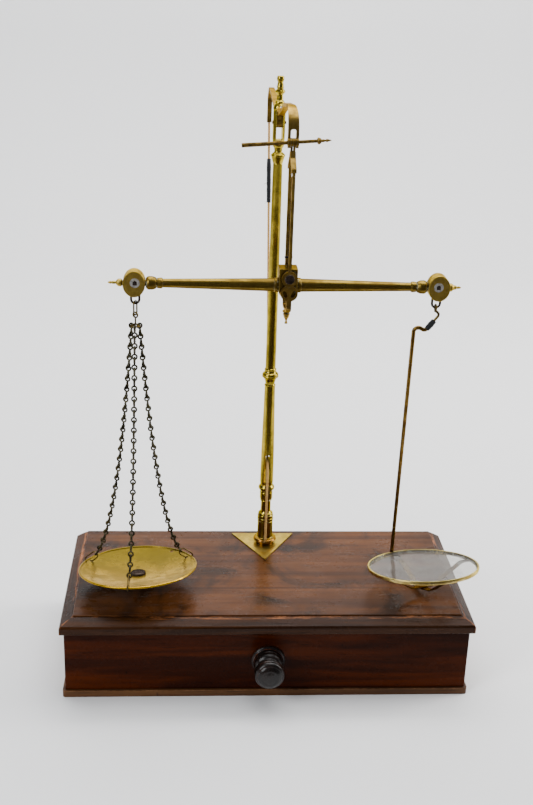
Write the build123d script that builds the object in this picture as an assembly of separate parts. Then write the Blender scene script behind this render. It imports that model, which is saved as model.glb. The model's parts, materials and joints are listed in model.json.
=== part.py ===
from build123d import *
from math import atan2, cos, degrees, hypot, radians, sin, tan
import os

# Beam scale on a drawer base. Millimetres, +Z up, +X to the right, -Y towards the user.
# Origin: centre of the base's underside.

# ---- base ----
BASE_HEIGHT = 93.0
FIELD_WIDTH = 400.0          # flat field of the top board
FIELD_FRONT = -85.0
BACK = 98.0
BOARD_THICKNESS = 16.0
MOULDING_WIDTH = 13.0
BOX_WIDTH = 419.0
PLINTH_THICKNESS = 7.5
PLINTH_OVERHANG = 2.5
PANEL_THICKNESS = 9.0
DRAWER_FACE_Y = -90.5
DRAWER_FRONT_THICKNESS = 10.3
DRAWER_GAP = 0.4
DRAWER_SIDE_THICKNESS = 8.0
DRAWER_SIDE_HEIGHT = 50.0
DRAWER_BACK_Y = 60.0
DRAWER_BOTTOM_THICKNESS = 4.0
KNOB_SPIGOT_RADIUS = 5.0

# ---- pillar: heights are above the base top ----
PILLAR_X = 3.6
PILLAR_Y = 70.0
PLATE_SIDE = 70.4
PLATE_THICKNESS = 1.2
PLATE_BACK_Y = 90.0
PLATE_X = 2.0
STUD_RADIUS = 4.0
STUD_LENGTH = 38.0
SLOT_LOW = 95.0
SLOT_HIGH = 112.4
SLOT_REAR_LOW = 104.2
SLOT_REAR_HIGH = 114.8
SLOT_WIDTH = 4.8
SLOT_CORNER = 1.9
HEAD_SLOT_LOW = 457.0
HEAD_SLOT_HIGH = 490.0
HEAD_SLOT_WIDTH = 6.4
LEVER_PIVOT_HEIGHT = 474.0
PIVOT_PIN_RADIUS = 1.6

# ---- beam: its centre hangs in front of the pillar ----
BEAM_X = 9.8
BEAM_Y = -31.0
ARM_REACH = 146.0            # central to end knife edge
ARM_AXIS = 334.5
ARM_ROOT_RADIUS = 6.4
ARM_TIP_RADIUS = 4.2
CENTRE_EDGE = 341.0          # height of the central knife edge
END_EDGE = 338.2             # height of the end knife edges
BEARING_HEIGHT = 343.6
STRAP_OFFSET = 12.5          # shears straps, before and behind the beam
PIN_HEIGHT = 470.0
PIN_TILT = 4.5
RING_BOTTOM = 314.15         # wire centre of the shackles' lowest point

# ---- pans ----
PAN_RADIUS = 60.8
PAN_DEPTH = 9.0
PAN_WALL = 0.9
LINK_WIRE = 0.8
LINK_LOOP = 2.35
LINKS = 24
LINK_CLEAR = 2.95            # centre distance of two loops that hang in each other
SEATED = 0.65                # a loop's centre below the wire that it hangs on
GLASS_RADIUS = 57.2
GLASS_THICKNESS = 2.4
RIM_RADIUS = 58.6
RIM_HEIGHT = 3.6
CORD_RADIUS = 1.35

LEVER_TURN = degrees(atan2(BEAM_X - PILLAR_X, PILLAR_Y - BEAM_Y))
LEVER_REACH = hypot(BEAM_X - PILLAR_X, PILLAR_Y - BEAM_Y)

PILLAR = Location((PILLAR_X, PILLAR_Y, BASE_HEIGHT))
HEAD = Location((PILLAR_X, PILLAR_Y, BASE_HEIGHT), (0, 0, LEVER_TURN))
BEAM = Location((BEAM_X, BEAM_Y, BASE_HEIGHT))
SHEARS = Location((BEAM_X, BEAM_Y, BASE_HEIGHT), (0, 0, LEVER_TURN))
LEFT_PAN = Location((-136.2, BEAM_Y, BASE_HEIGHT + 26.0), (-9.0, -2.4, 0))
GLASS_PAN = Location((165.7, -37.8, BASE_HEIGHT + 30.0), (-12.7, -2.8, 0))

ALONG_X = Rotation(0, 90, 0)
ALONG_Y = Rotation(-90, 0, 0)
TOWARDS_USER = Rotation(90, 0, 0)


# ---------------------------------------------------------------- helpers
def turned(*steps):
    """A turned solid about Z. A step is (radius, height), or (radius, height, bulge) for an
    arc that stands bulge outside the chord from the step before."""
    corners = [Vector(0, 0, steps[0][1])]
    corners += [Vector(step[0], 0, step[1]) for step in steps]
    corners += [Vector(0, 0, steps[-1][1]), Vector(0, 0, steps[0][1])]
    bulges = [0, 0] + [step[2] if len(step) > 2 else 0 for step in steps[1:]] + [0, 0]
    edges = []
    for start, end, bulge in zip(corners, corners[1:], bulges[1:]):
        if (end - start).length < 1e-6:
            continue
        if bulge:
            chord = (end - start).normalized()
            outward = Vector(chord.Z, 0, -chord.X)
            edges.append(ThreePointArc(start, (start + end) / 2 + outward * bulge, end))
        else:
            edges.append(Line(start, end))
    return revolve(make_face(Wire(edges)), Axis.Z)


def block(low, high):
    """A box from its lowest to its highest corner."""
    size = Vector(*high) - Vector(*low)
    return Pos(*((Vector(*low) + Vector(*high)) / 2)) * Box(size.X, size.Y, size.Z)


def prism(outline, axis_place, height):
    """An outline drawn in a placed XY plane, raised by height."""
    return extrude(axis_place * make_face(Polyline(*outline, close=True)), height)


def bent(points, radii):
    """Straight runs joined by tangent arcs."""
    return FilletPolyline(*points, radius=radii)


def wire(points, radii, radius):
    """Round wire along straight runs and tangent arcs."""
    path = bent(points, radii)
    start = Plane(origin=path @ 0, z_dir=path % 0)
    return sweep(start * Circle(radius), path)


def strap(points, radii, width, thickness):
    """Flat bar bent in a plane of constant X, width across X."""
    path = bent(points, radii)
    start = Plane(origin=path @ 0, x_dir=(1, 0, 0), z_dir=path % 0)
    return sweep(start * Rectangle(width, thickness), path)


def stadium_link(half_width, half_length, radius):
    """Closed wire link in the XZ plane: half_width and half_length to the wire centre."""
    straight = half_length - half_width
    path = Wire([
        Line((half_width, 0, -straight), (half_width, 0, straight)),
        ThreePointArc((half_width, 0, straight), (0, 0, half_length), (-half_width, 0, straight)),
        Line((-half_width, 0, straight), (-half_width, 0, -straight)),
        ThreePointArc((-half_width, 0, -straight), (0, 0, -half_length), (half_width, 0, -straight)),
    ])
    start = Plane(origin=(half_width, 0, -straight), z_dir=(0, 0, 1))
    return sweep(start * Circle(radius), path)


def both(piece):
    """The left and right, or front and rear, of a piece that comes in pairs."""
    return Compound([piece(-1), piece(1)])


def cylinder_between(a, b, radius):
    """Round bar from point a to point b."""
    axis = Vector(*b) - Vector(*a)
    return extrude(Plane(origin=a, z_dir=axis) * Circle(radius), axis.length)


# ---------------------------------------------------------------- base
def top_board():
    half = FIELD_WIDTH / 2
    low = BASE_HEIGHT - BOARD_THICKNESS
    board = block((-half, FIELD_FRONT, low), (half, BACK, BASE_HEIGHT))
    board = fillet(board.edges().group_by(Axis.Z)[-1], 0.8)
    hole = Pos(PILLAR_X, PILLAR_Y, low) * Cylinder(STUD_RADIUS, 60)
    return board - hole


def moulding_profile():
    """Section of the edge moulding: outward distance and height."""
    low = BASE_HEIGHT - BOARD_THICKNESS
    outer = MOULDING_WIDTH
    edges = [
        Line((0, low), (outer - 2.0, low)),
        ThreePointArc((outer - 2.0, low), (outer - 0.55, low + 0.6), (outer, low + 2.0)),
        Line((outer, low + 2.0), (outer, low + 7.2)),
        ThreePointArc((outer, low + 7.2), (outer - 0.6, low + 9.2), (outer - 2.4, low + 10.4)),
        ThreePointArc((outer - 2.4, low + 10.4), (outer - 6.4, low + 12.4), (1.4, low + 14.6)),
        Line((1.4, low + 14.6), (0, low + 14.6)),
        Line((0, low + 14.6), (0, low)),
    ]
    return make_face(Wire(edges))


def moulding_front():
    half = FIELD_WIDTH / 2
    far = half + MOULDING_WIDTH
    section = Plane(origin=(-far, FIELD_FRONT, 0), x_dir=(0, -1, 0), z_dir=(-1, 0, 0))
    bar = extrude(section * moulding_profile(), -2 * far)
    mitre = [(-half, FIELD_FRONT), (half, FIELD_FRONT),
             (far, FIELD_FRONT - MOULDING_WIDTH), (-far, FIELD_FRONT - MOULDING_WIDTH)]
    return bar & prism(mitre, Location((0, 0, 0)), BASE_HEIGHT)


def moulding_side(side):
    half = FIELD_WIDTH / 2
    far = half + MOULDING_WIDTH
    front = FIELD_FRONT - MOULDING_WIDTH
    section = Plane(origin=(side * half, front, 0), x_dir=(side, 0, 0), z_dir=(0, -side, 0))
    bar = extrude(section * moulding_profile(), -side * (BACK - front))
    mitre = [(side * half, FIELD_FRONT), (side * far, front), (side * far, BACK), (side * half, BACK)]
    return bar & prism(mitre, Location((0, 0, 0)), BASE_HEIGHT)


def bottom_board():
    half = BOX_WIDTH / 2 + PLINTH_OVERHANG
    board = block((-half, DRAWER_FACE_Y - PLINTH_OVERHANG, 0), (half, BACK, PLINTH_THICKNESS))
    return fillet(board.edges().filter_by(Axis.Z), 3.0)


def case_side(side):
    outer = side * BOX_WIDTH / 2
    inner = side * (BOX_WIDTH / 2 - PANEL_THICKNESS)
    front = DRAWER_FACE_Y + DRAWER_FRONT_THICKNESS + DRAWER_GAP / 2
    top = BASE_HEIGHT - BOARD_THICKNESS
    return block((min(outer, inner), front, PLINTH_THICKNESS), (max(outer, inner), BACK - 1.0, top))


def back_panel():
    half = BOX_WIDTH / 2 - PANEL_THICKNESS
    top = BASE_HEIGHT - BOARD_THICKNESS
    back = BACK - 1.0
    return block((-half, back - PANEL_THICKNESS, PLINTH_THICKNESS), (half, back, top))


# ---------------------------------------------------------------- drawer
DRAWER_LOW = PLINTH_THICKNESS + DRAWER_GAP
DRAWER_HALF = BOX_WIDTH / 2 - PANEL_THICKNESS - DRAWER_GAP
DRAWER_INNER = DRAWER_HALF - DRAWER_SIDE_THICKNESS
DRAWER_FRONT_BACK = DRAWER_FACE_Y + DRAWER_FRONT_THICKNESS
KNOB_HEIGHT = 42.5


def drawer_front():
    half = BOX_WIDTH / 2 - 0.3
    top = BASE_HEIGHT - BOARD_THICKNESS - DRAWER_GAP
    front = block((-half, DRAWER_FACE_Y, DRAWER_LOW), (half, DRAWER_FRONT_BACK, top))
    front = fillet(front.edges().filter_by(Axis.Z), 0.8)
    hole = Pos(0, DRAWER_FACE_Y, KNOB_HEIGHT) * ALONG_Y * Cylinder(KNOB_SPIGOT_RADIUS, 60)
    return front - hole


def drawer_side(side):
    near = side * DRAWER_INNER
    far = side * DRAWER_HALF
    return block((min(near, far), DRAWER_FRONT_BACK, DRAWER_LOW),
                 (max(near, far), DRAWER_BACK_Y, DRAWER_LOW + DRAWER_SIDE_HEIGHT))


def drawer_back():
    low = DRAWER_LOW + 1.0 + DRAWER_BOTTOM_THICKNESS
    return block((-DRAWER_INNER, DRAWER_BACK_Y - DRAWER_SIDE_THICKNESS, low),
                 (DRAWER_INNER, DRAWER_BACK_Y, DRAWER_LOW + DRAWER_SIDE_HEIGHT))


def drawer_bottom():
    low = DRAWER_LOW + 1.0
    return block((-DRAWER_INNER, DRAWER_FRONT_BACK, low),
                 (DRAWER_INNER, DRAWER_BACK_Y, low + DRAWER_BOTTOM_THICKNESS))


def drawer_knob():
    """Turned knob, built standing on its back face, then laid towards the user."""
    knob = turned((KNOB_SPIGOT_RADIUS, -DRAWER_FRONT_THICKNESS), (KNOB_SPIGOT_RADIUS, 0), (17.0, 0),
                  (17.4, 1.2, 0.3), (16.6, 3.0, 0.3), (15.2, 4.0), (15.0, 8.5, 0.6), (12.4, 15.0, 1.0),
                  (11.2, 18.0, -0.3), (12.6, 19.6, -0.3), (15.1, 25.5, 1.4), (12.8, 31.0, 1.2),
                  (7.0, 34.0, 0.8), (0.01, 34.8, 0.3))
    return Pos(0, DRAWER_FACE_Y, KNOB_HEIGHT) * TOWARDS_USER * knob


# ---------------------------------------------------------------- pillar
def pillar_plate():
    half = PLATE_SIDE / 2
    apex = PLATE_BACK_Y - PLATE_SIDE * cos(radians(30))
    corners = [(PLATE_X - half, PLATE_BACK_Y), (PLATE_X, apex), (PLATE_X + half, PLATE_BACK_Y)]
    plate = prism(corners, Location((0, 0, BASE_HEIGHT)), PLATE_THICKNESS)
    return plate - Pos(PILLAR_X, PILLAR_Y, BASE_HEIGHT) * Cylinder(STUD_RADIUS, 60)


def pillar_stud():
    """Threaded rod that draws the pillar down on the board."""
    low = -BOARD_THICKNESS - 9.0
    return PILLAR * Pos(0, 0, low) * turned((STUD_RADIUS - 0.6, 0), (STUD_RADIUS, 0.6),
                                            (STUD_RADIUS, STUD_LENGTH))


def pillar_washer():
    ring = Cylinder(10.0, 1.5) - Cylinder(STUD_RADIUS, 10)
    return PILLAR * Pos(0, 0, -BOARD_THICKNESS - 0.75) * ring


def pillar_nut():
    hexagon = extrude(RegularPolygon(7.5, 6), 5.5) - Cylinder(STUD_RADIUS, 30)
    return PILLAR * Pos(0, 0, -BOARD_THICKNESS - 7.0) * hexagon


def pillar_foot():
    base = PLATE_THICKNESS
    foot = turned((9.8, base), (9.8, 4.4), (9.4, 5.0), (12.0, 5.4), (12.6, 6.8, 0.6), (11.6, 8.2, 0.3),
                  (9.0, 9.0), (8.7, 10.4, -0.4), (8.6, 29.0), (8.0, 29.6), (8.9, 31.0, 0.4),
                  (8.9, 32.0), (8.0, 33.4, 0.4), (8.8, 34.6, 0.3), (8.8, 36.0), (7.6, 37.6, 0.3),
                  (8.2, 38.6, 0.3), (6.6, 40.0, 0.3), (5.6, 41.4), (5.6, 53.4), (5.9, 54.4))
    bore = Pos(0, 0, base) * Cylinder(STUD_RADIUS, 2 * (STUD_LENGTH - BOARD_THICKNESS - 9.0 - base))
    return PILLAR * (foot - bore)


def pillar_lower():
    shaft = turned((6.1, 54.4), (6.3, 55.6, 0.3), (5.6, 56.4), (7.1, 57.4, 0.3), (7.1, 64.6),
                   (6.4, 65.6, 0.3), (6.4, 67.6), (8.4, 69.0), (8.4, 72.6, 0.5), (7.2, 74.2),
                   (7.4, 78.6, -0.2), (7.1, 116.0), (6.4, 152.0), (5.7, 193.0), (5.7, 194.6, 0.4),
                   (5.1, 195.4))
    # the slot is long in front and short behind, where the cord comes in
    half = SLOT_WIDTH / 2
    front = block((-half, -20, SLOT_LOW), (half, 0, SLOT_HIGH))
    front = fillet(front.edges().filter_by(Axis.Y), SLOT_CORNER)
    rear = block((-half, 0, SLOT_REAR_LOW), (half, 20, SLOT_REAR_HIGH))
    rear = fillet(rear.edges().filter_by(Axis.Y), SLOT_CORNER)
    return PILLAR * (shaft - front - rear)


def pillar_knop():
    return PILLAR * turned((5.1, 195.4), (5.3, 197.0), (7.9, 203.0, -0.5), (8.7, 205.0, 0.6),
                           (7.6, 208.0, 0.5), (5.9, 210.4, -0.3), (6.3, 211.4, 0.3), (5.9, 213.0, 0.3),
                           (5.3, 213.6))


def pillar_upper():
    return PILLAR * turned((5.55, 213.6), (5.35, 320.0), (5.1, 400.0), (4.8, 433.0), (4.7, 433.4))


def pillar_head():
    """Slotted baluster that carries the lever between two cheeks."""
    head = turned((4.9, 433.4), (6.8, 440.4), (6.95, 442.2, 0.4), (5.6, 443.6), (4.0, 446.0, -0.5),
                  (4.2, 448.6), (5.8, 453.4, 0.6), (6.2, 458.0), (6.2, 486.0), (5.6, 490.8, 0.5),
                  (4.3, 492.4), (4.3, 494.6, 0.4), (3.2, 495.8), (2.9, 500.8))
    middle = (HEAD_SLOT_LOW + HEAD_SLOT_HIGH) / 2
    slot = Pos(0, 0, middle) * Box(HEAD_SLOT_WIDTH, 40, HEAD_SLOT_HIGH - HEAD_SLOT_LOW)
    bore = Pos(0, 0, LEVER_PIVOT_HEIGHT) * ALONG_X * Cylinder(PIVOT_PIN_RADIUS, 40)
    return HEAD * (head - slot - bore)


def pillar_finial():
    return PILLAR * turned((2.9, 500.8), (4.2, 502.6), (5.1, 504.2, 0.3), (4.0, 505.8), (3.0, 506.4),
                           (3.3, 509.2, 0.3), (3.0, 512.0), (2.5, 513.0), (3.4, 514.6, 0.2),
                           (3.6, 517.2, 0.2), (2.6, 519.0, 0.3))


def lever_pivot_pin():
    pin = Cylinder(PIVOT_PIN_RADIUS, 14.0)
    return HEAD * Pos(0, 0, LEVER_PIVOT_HEIGHT) * ALONG_X * pin


# ---------------------------------------------------------------- lift lever, in the head's frame
CLEVIS_GAP = 5.2
CLEVIS_WIDTH = 10.2
TAIL_REACH = 80.0
TAIL_TIP_HEIGHT = 463.0


def lift_lever():
    """Arched lever: clevis over the suspension pin in front, hooked tail behind."""
    front = LEVER_REACH
    points = [(0, -front, 465.0), (0, -front, 501.0), (0, -52, 498.0), (0, -13, 483.5), (0, 13, 483.5),
              (0, 52, 496.5), (0, 72, 499.5), (0, TAIL_REACH, 489.0), (0, TAIL_REACH, TAIL_TIP_HEIGHT)]
    bar = strap(points, [20, 24, 20, 20, 28, 10, 8], CLEVIS_WIDTH, 3.4)
    # seen from above: full width at the clevis, narrow through the head and along the tail
    narrow = HEAD_SLOT_WIDTH / 2 - 0.2
    plan = [(-5.1, -front - 9), (5.1, -front - 9), (5.1, -front + 1), (narrow, -front + 26),
            (narrow, 30), (2.2, TAIL_REACH + 9), (-2.2, TAIL_REACH + 9), (-narrow, 30),
            (-narrow, -front + 26), (-5.1, -front + 1)]
    bar = bar & prism(plan, Location((0, 0, 440)), 80)
    hub = Pos(0, 0, LEVER_PIVOT_HEIGHT) * ALONG_X * Cylinder(5.2, 2 * narrow)
    web = block((-narrow, -4.2, LEVER_PIVOT_HEIGHT), (narrow, 4.2, 483.0))
    eye = Pos(0, -front, PIN_HEIGHT) * ALONG_X * Cylinder(4.2, CLEVIS_WIDTH)
    bar = bar + hub + web + eye
    gap = block((-CLEVIS_GAP / 2, -front - 8, 460.0), (CLEVIS_GAP / 2, -front + 8, 482.0))
    gap = fillet(gap.edges().filter_by(Axis.Y).group_by(Axis.Z)[-1], 2.0)
    bore = Pos(0, 0, LEVER_PIVOT_HEIGHT) * ALONG_X * Cylinder(PIVOT_PIN_RADIUS + 0.05, 40)
    return HEAD * (bar - gap - bore) - suspension_pin()


def suspension_pin():
    """Loose tapered pin, blunt on the left, with a collar and a point on the right."""
    pin = turned((1.9, -47.5), (2.05, -47.0), (1.75, 0), (1.55, 22.0), (2.9, 22.8), (3.1, 24.2, 0.2),
                 (2.4, 25.6), (1.2, 26.4), (1.4, 28.4, 0.2), (0.9, 30.0), (1.5, 31.6, 0.2), (0.3, 35.5))
    return BEAM * Pos(0, 0, PIN_HEIGHT) * Rotation(0, 90 - PIN_TILT, 0) * pin


# ---------------------------------------------------------------- shears and beam, in the beam's frame
STRAP_LOW = 311.0
EYE_SHIFT = 1.1


def shears_strap(side):
    """One strap of the shears. side is -1 in front of the beam, 1 behind it."""
    y = side * STRAP_OFFSET
    points = [(0, side * 1.4, 461.6), (0, side * 4.2, 456.0), (0, y, 446.0), (0, y, STRAP_LOW),
              (0, side * 2.3, STRAP_LOW)]
    bar = strap(points, [6, 6, 5], 5.0, 2.2)
    for flank in (-1, 1):
        bar -= block((flank * 3.0 - 1.5, -20, 350.0), (flank * 3.0 + 1.5, 20, 444.0))
    bead = Pos(0, y, 446.4) * Box(4.6, 3.2, 3.6)
    centre = Pos(0, y, BEARING_HEIGHT) * ALONG_Y
    disc = centre * Cylinder(7.5, 3.2)
    roundel = Pos(0, y, 329.5) * ALONG_Y * extrude(Ellipse(8.4, 7.8), 1.2, both=True)
    neck = block((-1.0, side * 1.5 - 1.3, 461.0), (1.0, side * 1.5 + 1.3, 467.0))
    neck = Pos(side * -EYE_SHIFT, 0, 0) * neck
    eye = Pos(side * -EYE_SHIFT, 0, PIN_HEIGHT) * ALONG_X * Cylinder(3.9, 2.0)
    part = bar + fillet(bead.edges(), 0.8) + disc + roundel + neck + eye
    part -= Pos(0, 0, PIN_HEIGHT) * ALONG_X * Cylinder(2.5, 20)
    part -= centre * Cylinder(4.6, 20)
    for flank in (-1, 1):
        tear = Pos(flank * 3.9, y, 328.8) * Rotation(0, flank * 24, 0) * ALONG_Y
        part -= tear * extrude(Ellipse(1.9, 3.9), 6, both=True)
    return SHEARS * part


def shears_bearing(side):
    """Steel cup let into a strap, where the central knife edge rests."""
    cup = turned((4.6, 0), (4.6, 3.4), (3.8, 3.9, 0.1)) - Cylinder(2.9, 2 * 2.6)
    turn = TOWARDS_USER if side < 0 else ALONG_Y
    return SHEARS * Pos(0, side * (STRAP_OFFSET - 1.6), BEARING_HEIGHT) * turn * cup


def drop_finial():
    """Screwed finial that draws the two strap ends together."""
    stem = Pos(0, 0, STRAP_LOW) * Box(5.0, 4.6, 2.2)
    drop = turned((1.2, 295.6), (1.35, 297.0, 0.3), (0.9, 298.4), (1.5, 300.6), (3.0, 304.6, 0.3),
                  (3.4, 306.0, 0.2), (2.2, 306.8), (3.9, 307.6, 0.1), (3.9, 309.0), (2.2, 309.9))
    return SHEARS * (stem + drop)


def knife_centre():
    """Central knife edge: a bar along Y with its edge downwards."""
    top = CENTRE_EDGE + 4.2
    outline = [(0, CENTRE_EDGE), (1.55, CENTRE_EDGE + 2.6), (1.55, top), (-1.55, top),
               (-1.55, CENTRE_EDGE + 2.6)]
    place = Plane(origin=(0, 13.2, 0), x_dir=(1, 0, 0), z_dir=(0, -1, 0))
    return BEAM * prism(outline, place, 26.4)


def beam_boss():
    body = block((-9, -9, 323.5), (9, 9, 352.5))
    body = fillet(body.edges().filter_by(Axis.Y).group_by(Axis.Z)[0], 7.0)
    body = fillet(body.edges().filter_by(Axis.Z), 1.2)
    body = fillet(body.edges().group_by(Axis.Z)[-1], 0.6)
    bore = Pos(0, 0, ARM_AXIS) * ALONG_X * Cylinder(3.0, 40)
    return BEAM * (body - bore) - knife_centre()


def pointer():
    blade = Pos(0, 0, 352.5) * extrude(Rectangle(1.5, 0.9), 86.0, taper=0.2)
    bar = Pos(0, 0, 362.0) * Box(7.6, 1.6, 1.6)
    return BEAM * (blade + bar)


def beam_arm(side):
    """Tapered arm with a ring and a bulb at its outer end and a tenon at both ends."""
    arm = turned((3.0, 3.0), (3.0, 9.0), (7.0, 9.0), (7.0, 12.4, 0.2), (ARM_ROOT_RADIUS, 13.0),
                 (ARM_TIP_RADIUS, 119.6), (5.0, 120.2), (5.2, 122.4, 0.2), (5.0, 124.6), (4.3, 125.4),
                 (5.8, 127.4, 0.3), (6.5, 131.0, 0.3), (5.6, 134.8, 0.5), (4.6, 135.7), (3.0, 135.7),
                 (3.0, 138.4))
    return BEAM * Pos(0, 0, ARM_AXIS) * Rotation(0, side * 90, 0) * arm


CHEEK_DEPTH = 14.0
CAVITY_DEPTH = 7.0
OVAL_CENTRE = ARM_REACH + 0.9
BUSH_HEIGHT = END_EDGE - 2.3
BUSH_RADIUS = 4.7


def box_end(side):
    """Oval box at the end of the beam, open below for the shackle."""
    x = side * OVAL_CENTRE
    oval = Pos(x, 0, ARM_AXIS) * ALONG_Y * extrude(Ellipse(10.75, 12.75), CHEEK_DEPTH / 2, both=True)
    oval = fillet(oval.edges(), 0.7)
    cavity = block((x - 7.5, -CAVITY_DEPTH / 2, 310), (x + 7.5, CAVITY_DEPTH / 2, 344.0))
    tenon = Pos(x, 0, ARM_AXIS) * ALONG_X * Cylinder(3.0, 60)
    inward = x - side * 30
    inner = block((min(x, inward), -9, 300), (max(x, inward), 9, 360))
    outer_bore = Pos(x, 0, ARM_AXIS) * ALONG_X * Cylinder(1.8, 60)
    bush = Pos(side * ARM_REACH, 0, BUSH_HEIGHT) * ALONG_Y * Cylinder(BUSH_RADIUS, 60)
    return BEAM * (oval - cavity - (tenon & inner) - outer_bore - bush)


def end_bushes():
    """Plain rings that hold the end knife edges in the box ends' cheeks."""
    rings = []
    for side in (-1, 1):
        for face in (-1, 1):
            y = face * (CHEEK_DEPTH + CAVITY_DEPTH) / 4
            length = (CHEEK_DEPTH - CAVITY_DEPTH) / 2
            ring = Pos(side * ARM_REACH, y, BUSH_HEIGHT) * ALONG_Y * Cylinder(BUSH_RADIUS, length)
            rings.append(BEAM * ring - knife_end(side))
    return Compound(rings)


def knife_end(side):
    """End knife edge: a bar along Y with its edge upwards."""
    outline = [(0, END_EDGE), (2.0, END_EDGE - 1.2), (2.0, END_EDGE - 4.6), (-2.0, END_EDGE - 4.6),
               (-2.0, END_EDGE - 1.2)]
    place = Plane(origin=(side * ARM_REACH, CHEEK_DEPTH / 2, 0), x_dir=(1, 0, 0), z_dir=(0, -1, 0))
    return BEAM * prism(outline, place, CHEEK_DEPTH)


def end_finial(side):
    """Turned finial beyond a box end: a ball on the left, a collar on the right."""
    if side < 0:
        shape = turned((1.8, 155.0), (1.8, 157.7), (2.8, 158.1), (3.7, 160.6, 0.5), (2.4, 163.4, 0.5),
                       (1.2, 164.4), (1.5, 167.4, 0.2), (1.0, 168.4), (1.4, 169.6, 0.2), (0.3, 172.0, 0.2))
    else:
        shape = turned((1.8, 155.0), (1.8, 157.7), (3.9, 157.9), (4.0, 160.0, 0.1), (2.8, 161.4),
                       (2.0, 164.0, -0.2), (1.0, 165.6), (1.3, 167.0, 0.2), (0.3, 169.4, 0.1))
    return BEAM * Pos(0, 0, ARM_AXIS) * Rotation(0, side * 90, 0) * shape


# ---------------------------------------------------------------- shackles and hangers
SHACKLE_WIRE = 1.15
SHACKLE_HALF_WIDTH = 3.95
HANG_X = (BEAM_X - ARM_REACH, BEAM_X + ARM_REACH)
RING_Z = BASE_HEIGHT + RING_BOTTOM


def shackle(side):
    """Steel link that rides on the end knife edge."""
    top = END_EDGE + 0.3 + SHACKLE_WIRE
    half_length = (top - RING_BOTTOM) / 2
    link = stadium_link(SHACKLE_HALF_WIDTH, half_length, SHACKLE_WIRE)
    return BEAM * Pos(side * ARM_REACH, 0, RING_BOTTOM + half_length) * link


LONG_LINK_WIRE = 0.8
LONG_LINK_TOP = RING_Z + SHACKLE_WIRE + LONG_LINK_WIRE + 0.3
LONG_LINK_BOTTOM = BASE_HEIGHT + 302.6
GATHER_WIRE = 0.85
GATHER_Z = BASE_HEIGHT + 291.6
GATHER_RADIUS = 4.3
SPOKE_RADIUS = 0.55
CHAIN_AZIMUTHS = (155.0, 25.0, 263.0)
CHAIN_NAMES = ("chain_left", "chain_right", "chain_front")
CHAIN_END_RADIUS = 49.0
CHAIN_END_HEIGHT = 9.0          # above the pan's rim
PAN_HOOK_WIRE = 0.7
HOLE_REACH = 56.0               # the pan's holes, from its centre
HOLE_RADIUS = 2.0
SPARE_HOLE_AZIMUTH = 52.0
HOOK_FOOT = (62.4, -1.6)        # reach and height of a hook's low end
HOOK_HALF_WIDTH = 3.7


def long_link():
    half = (LONG_LINK_TOP - LONG_LINK_BOTTOM) / 2
    link = stadium_link(2.6, half, LONG_LINK_WIRE)
    return Pos(HANG_X[0], BEAM_Y, LONG_LINK_BOTTOM + half) * Rotation(0, 0, 58) * link


def gathering_hook():
    """Small eye with a three-armed ring below it, from which the chains start."""
    eye_radius = 2.5
    eye_z = LONG_LINK_BOTTOM - LONG_LINK_WIRE - GATHER_WIRE - 0.1 + 2 * eye_radius - 3.4
    eye = Pos(0, 0, eye_z) * Rotation(0, 0, -32) * ALONG_Y * Torus(eye_radius, GATHER_WIRE)
    stem = cylinder_between((0, 0, GATHER_Z + 2.2), (0, 0, eye_z - eye_radius), 0.8)
    ring = Pos(0, 0, GATHER_Z) * Torus(GATHER_RADIUS, GATHER_WIRE)
    hook = eye + stem + ring
    for azimuth in CHAIN_AZIMUTHS:
        rim = Vector(GATHER_RADIUS, 0, 0).rotate(Axis.Z, azimuth + 60)
        hook += cylinder_between((0, 0, GATHER_Z + 2.8), (rim.X, rim.Y, GATHER_Z + 0.2), SPOKE_RADIUS)
    return Pos(HANG_X[0], BEAM_Y, 0) * hook


def pan_point(azimuth, radius, height):
    """A place on the brass pan, in the object's frame."""
    local = Pos(radius * cos(radians(azimuth)), radius * sin(radians(azimuth)), height)
    return (LEFT_PAN * local).position


def chain_ends(azimuth):
    """Centres of a chain's first and last loop."""
    around = radians(azimuth)
    top = Vector(HANG_X[0] + GATHER_RADIUS * cos(around), BEAM_Y + GATHER_RADIUS * sin(around),
                 GATHER_Z - SEATED)
    return top, pan_point(azimuth, CHAIN_END_RADIUS, CHAIN_END_HEIGHT)


def chain_line(azimuth):
    """The slack curve that a chain hangs in: steep above, flaring out above the pan."""
    top, bottom = chain_ends(azimuth)
    across = bottom - top
    bend = top + Vector(across.X * 0.41, across.Y * 0.41, across.Z * 0.84)
    return Bezier(top, bend, bottom)


def chain(azimuth):
    """Jack chain: figure-of-eight links whose two loops stand at right angles."""
    line = chain_line(azimuth)
    pitch = (line.length + LINK_CLEAR) / LINKS
    reach = pitch - LINK_CLEAR
    link = ALONG_Y * Torus(LINK_LOOP, LINK_WIRE)
    link += Pos(0, 0, reach) * ALONG_X * Torus(LINK_LOOP, LINK_WIRE)
    link += Pos(0, 0, LINK_LOOP) * Cylinder(LINK_WIRE * 1.25, reach - 2 * LINK_LOOP,
                                            align=(Align.CENTER, Align.CENTER, Align.MIN))
    outward = Vector(cos(radians(azimuth)), sin(radians(azimuth)), 0)
    links = []
    for number in range(LINKS):
        start = line.position_at(number * pitch, PositionMode.LENGTH)
        end = line.position_at(number * pitch + reach, PositionMode.LENGTH)
        links.append(Plane(origin=start, x_dir=outward, z_dir=end - start).location * link)
    return Compound(links)


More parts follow.
